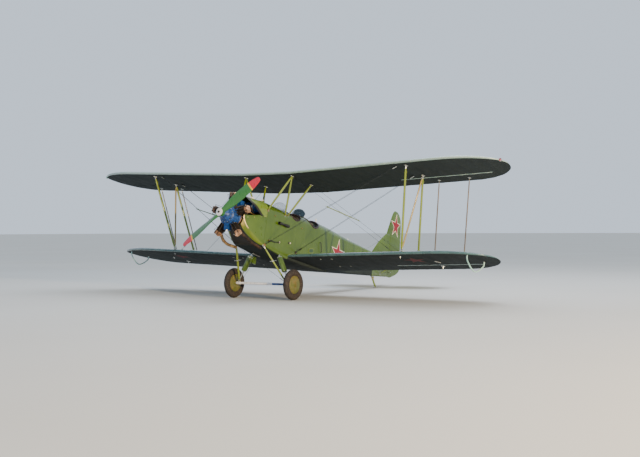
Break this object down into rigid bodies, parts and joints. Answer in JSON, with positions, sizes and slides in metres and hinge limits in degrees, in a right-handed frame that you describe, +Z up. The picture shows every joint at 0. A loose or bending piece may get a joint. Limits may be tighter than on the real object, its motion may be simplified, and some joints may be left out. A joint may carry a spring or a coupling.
{
  "type": "biplane",
  "caption": "Training biplane with two open cockpits in line, an uncowled radial engine, a wooden propeller, braced wings, wheels on a cross axle and a tail skid.",
  "frame": {"origin": "on the ground below the middle of the bounding box, with both wheels and the skid shoe on the ground", "axes": "+X to the port wing tip, +Y aft along the ground, +Z up; the aircraft stands nose up on its skid"},
  "size_m": [11.3874, 8.2224, 3.1089],
  "materials": {
    "green_skin": "gloss",
    "wing_skin": "satin",
    "green_metal": "gloss",
    "green_strut": "gloss",
    "pane": "polished",
    "seat": "satin",
    "blue_case": "satin",
    "black_iron": "satin",
    "sooty_steel": "matte",
    "bare_metal": "satin",
    "propeller_wood": "gloss",
    "tyre": "matte"
  },
  "bodies": {
    "airframe": {"fuselage": "green_skin", "cowl": "green_metal", "windshield_front": "pane", "windshield_rear": "pane", "seat_front": "seat", "seat_rear": "seat", "upper_wing_centre": "wing_skin", "upper_wing_port": "wing_skin", "upper_wing_starboard": "wing_skin", "lower_wing_port": "wing_skin", "lower_wing_starboard": "wing_skin", "interplane_struts_port": "green_strut", "interplane_struts_starboard": "green_strut", "cabane_struts_port": "green_strut", "cabane_struts_starboard": "green_strut", "cabane_rear_strut_port": "green_strut", "cabane_rear_strut_starboard": "green_strut", "rigging_port": "bare_metal", "rigging_starboard": "bare_metal", "wingtip_bow_port": "green_strut", "wingtip_bow_starboard": "green_strut", "engine_crankcase": "blue_case", "engine_cylinder_1": "black_iron", "engine_cylinder_2": "black_iron", "engine_cylinder_3": "black_iron", "engine_cylinder_4": "black_iron", "engine_cylinder_5": "black_iron", "exhaust_port": "sooty_steel", "exhaust_starboard": "sooty_steel", "axle": "bare_metal", "gear_front_strut_port": "green_strut", "gear_front_strut_starboard": "green_strut", "gear_rear_leg_port": "green_metal", "gear_rear_leg_starboard": "green_metal", "tail_skid": "green_strut", "fin": "green_skin", "tailplane": "green_skin", "tailplane_strut_port": "green_strut", "tailplane_strut_starboard": "green_strut"},
    "propeller": {"propeller": "propeller_wood"},
    "wheel_port": {"tyre_port": "tyre", "wheel_disc_port": "green_metal"},
    "wheel_starboard": {"tyre_starboard": "tyre", "wheel_disc_starboard": "green_metal"},
    "rudder": {"rudder": "green_skin"},
    "elevator": {"elevator_port": "green_skin", "elevator_starboard": "green_skin"},
    "upper_aileron_port": {"upper_aileron_port": "wing_skin"},
    "lower_aileron_port": {"lower_aileron_port": "wing_skin"},
    "aileron_link_inner_port": {"aileron_link_inner_port": "green_strut"},
    "aileron_link_outer_port": {"aileron_link_outer_port": "green_strut"},
    "upper_aileron_starboard": {"upper_aileron_starboard": "wing_skin"},
    "lower_aileron_starboard": {"lower_aileron_starboard": "wing_skin"},
    "aileron_link_inner_starboard": {"aileron_link_inner_starboard": "green_strut"},
    "aileron_link_outer_starboard": {"aileron_link_outer_starboard": "green_strut"}
  },
  "joints": [
    {"name": "propeller_spin", "type": "hinge", "parent": "airframe", "child": "propeller", "pos_m": [0, -3.93388, 1.97656], "axis": [0, 0.9763, -0.2164], "continuous": true},
    {"name": "wheel_port_spin", "type": "hinge", "parent": "airframe", "child": "wheel_port", "pos_m": [0.849, -2.41057, 0.35], "axis": [1, 0, 0], "continuous": true},
    {"name": "wheel_starboard_spin", "type": "hinge", "parent": "airframe", "child": "wheel_starboard", "pos_m": [-0.849, -2.41057, 0.35], "axis": [1, 0, 0], "continuous": true},
    {"name": "rudder_hinge", "type": "hinge", "parent": "airframe", "child": "rudder", "pos_m": [0, 2.92196, -1.18219], "axis": [0, 0.2164, 0.9763], "range_deg": [-25, 25]},
    {"name": "elevator_hinge", "type": "hinge", "parent": "airframe", "child": "elevator", "pos_m": [0, 3.31275, 0.77461], "axis": [1, 0, 0], "range_deg": [-25, 25]},
    {"name": "lower_aileron_port_hinge", "type": "hinge", "parent": "airframe", "child": "lower_aileron_port", "pos_m": [0.39892, -0.81277, 0.71737], "axis": [0.9995, 0.0082, 0.0317], "range_deg": [-22, 22]},
    {"name": "upper_aileron_port_hinge", "type": "hinge", "parent": "airframe", "child": "upper_aileron_port", "pos_m": [0.68844, -1.1733, 2.62562], "axis": [0.9989, 0.0118, 0.0456], "range_deg": [-22, 22]},
    {"name": "lower_aileron_starboard_hinge", "type": "hinge", "parent": "airframe", "child": "lower_aileron_starboard", "pos_m": [-0.39892, -0.81277, 0.71737], "axis": [0.9995, -0.0082, -0.0317], "range_deg": [-22, 22]},
    {"name": "upper_aileron_starboard_hinge", "type": "hinge", "parent": "airframe", "child": "upper_aileron_starboard", "pos_m": [-0.68844, -1.1733, 2.62562], "axis": [0.9989, -0.0118, -0.0456], "range_deg": [-22, 22]},
    {"name": "aileron_link_inner_port_pivot", "type": "hinge", "parent": "lower_aileron_port", "child": "aileron_link_inner_port", "pos_m": [3.47688, -0.60496, 0.79853], "axis": [0.9995, 0.0082, 0.0317], "range_deg": [-23.2, 23.2]},
    {"name": "aileron_link_outer_port_pivot", "type": "hinge", "parent": "lower_aileron_port", "child": "aileron_link_outer_port", "pos_m": [4.20449, -0.59901, 0.82154], "axis": [0.9995, 0.0082, 0.0317], "range_deg": [-23.2, 23.2]},
    {"name": "aileron_link_inner_starboard_pivot", "type": "hinge", "parent": "lower_aileron_starboard", "child": "aileron_link_inner_starboard", "pos_m": [-3.47688, -0.60496, 0.79853], "axis": [0.9995, -0.0082, -0.0317], "range_deg": [-23.2, 23.2]},
    {"name": "aileron_link_outer_starboard_pivot", "type": "hinge", "parent": "lower_aileron_starboard", "child": "aileron_link_outer_starboard", "pos_m": [-4.20449, -0.59901, 0.82154], "axis": [0.9995, -0.0082, -0.0317], "range_deg": [-23.2, 23.2]}
  ],
  "couplings": [
    {"joint": "upper_aileron_port_hinge", "follows": "lower_aileron_port_hinge", "ratio": 1},
    {"joint": "lower_aileron_starboard_hinge", "follows": "lower_aileron_port_hinge", "ratio": -1},
    {"joint": "upper_aileron_starboard_hinge", "follows": "lower_aileron_port_hinge", "ratio": -1},
    {"joint": "aileron_link_inner_port_pivot", "follows": "lower_aileron_port_hinge", "ratio": -1.048},
    {"joint": "aileron_link_inner_starboard_pivot", "follows": "lower_aileron_port_hinge", "ratio": 1.048},
    {"joint": "aileron_link_outer_port_pivot", "follows": "lower_aileron_port_hinge", "ratio": -1.048},
    {"joint": "aileron_link_outer_starboard_pivot", "follows": "lower_aileron_port_hinge", "ratio": 1.048}
  ]
}
